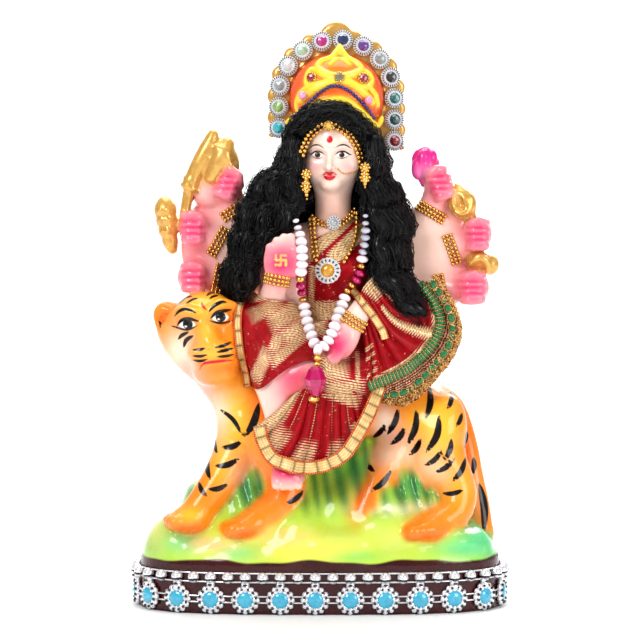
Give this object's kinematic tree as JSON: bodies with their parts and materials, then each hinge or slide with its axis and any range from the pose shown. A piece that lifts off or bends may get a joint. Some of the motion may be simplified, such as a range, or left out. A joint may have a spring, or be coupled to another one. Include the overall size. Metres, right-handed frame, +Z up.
{
  "type": "durga figure",
  "caption": "Painted plaster figure of an eight-armed goddess seated on a tiger, on its own base, dressed in cloth, hair, beads and trim.",
  "frame": {"origin": "middle of the flat underside of the base", "axes": "+Z up, -Y out of the figure's front, +X to the right of someone who faces it"},
  "size_m": [0.1478, 0.0727, 0.23],
  "materials": {
    "enamel": "glossy hand-sprayed enamel paint on plaster: orange tiger, cream skin, green and yellow mound, maroon band",
    "brocade": "red satin brocade woven with gold, edged with gold ribbon and copper piping",
    "gold_lace": "gold metallic lace with green sequins and a ruffled gold cord edge",
    "hair": "glossy black wavy synthetic hair",
    "silver_trim": "silver-plated plastic trim with turquoise stones",
    "jewelled_setting": "silver-plated ribbed flower settings, each with a cut glass stone",
    "gold_bead": "gold-plated seed beads and findings",
    "white_bead": "faceted white pearly beads on a thread",
    "magenta_bead": "faceted magenta bead drop",
    "blue_bead": "small dark blue glass beads",
    "red_gem": "red cut stone",
    "clear_gem": "clear cut rhinestone",
    "pink_pearl": "pink pearly bead"
  },
  "bodies": {
    "root": {"casting": "enamel", "sari_bodice": "brocade", "sari_lap": "brocade", "sari_pleats": "brocade", "sari_pallu": "brocade", "pallu_lace": "gold_lace", "hair": "hair", "crown_stone_01": "jewelled_setting", "crown_stone_02": "jewelled_setting", "crown_stone_03": "jewelled_setting", "crown_stone_04": "jewelled_setting", "crown_stone_05": "jewelled_setting", "crown_stone_06": "jewelled_setting", "crown_stone_07": "jewelled_setting", "crown_stone_08": "jewelled_setting", "crown_stone_09": "jewelled_setting", "crown_stone_10": "jewelled_setting", "crown_stone_11": "jewelled_setting", "crown_stone_12": "jewelled_setting", "crown_stone_13": "jewelled_setting", "crown_bead_string": "blue_bead", "crown_pearl_left": "pink_pearl", "crown_pearl_right": "pink_pearl", "crown_gem_left": "red_gem", "crown_gem_right": "red_gem", "crown_gem_centre": "clear_gem", "headband": "gold_bead", "forehead_brooch": "gold_bead", "nose_chain": "gold_bead", "earring_left": "gold_bead", "earring_right": "gold_bead", "choker": "gold_bead", "choker_stone": "jewelled_setting", "pendant": "jewelled_setting", "necklace_left": "gold_bead", "necklace_right": "gold_bead", "garland": "white_bead", "garland_drop": "magenta_bead", "base_trim": "silver_trim", "bangle_left_1": "gold_bead", "bangle_left_2": "gold_bead", "bangle_left_3": "gold_bead", "bangle_right_1": "gold_bead", "bangle_right_2": "gold_bead", "bangle_right_3": "gold_bead", "bangle_front_left": "gold_bead", "bangle_front_right": "gold_bead"}
  },
  "joints": []
}
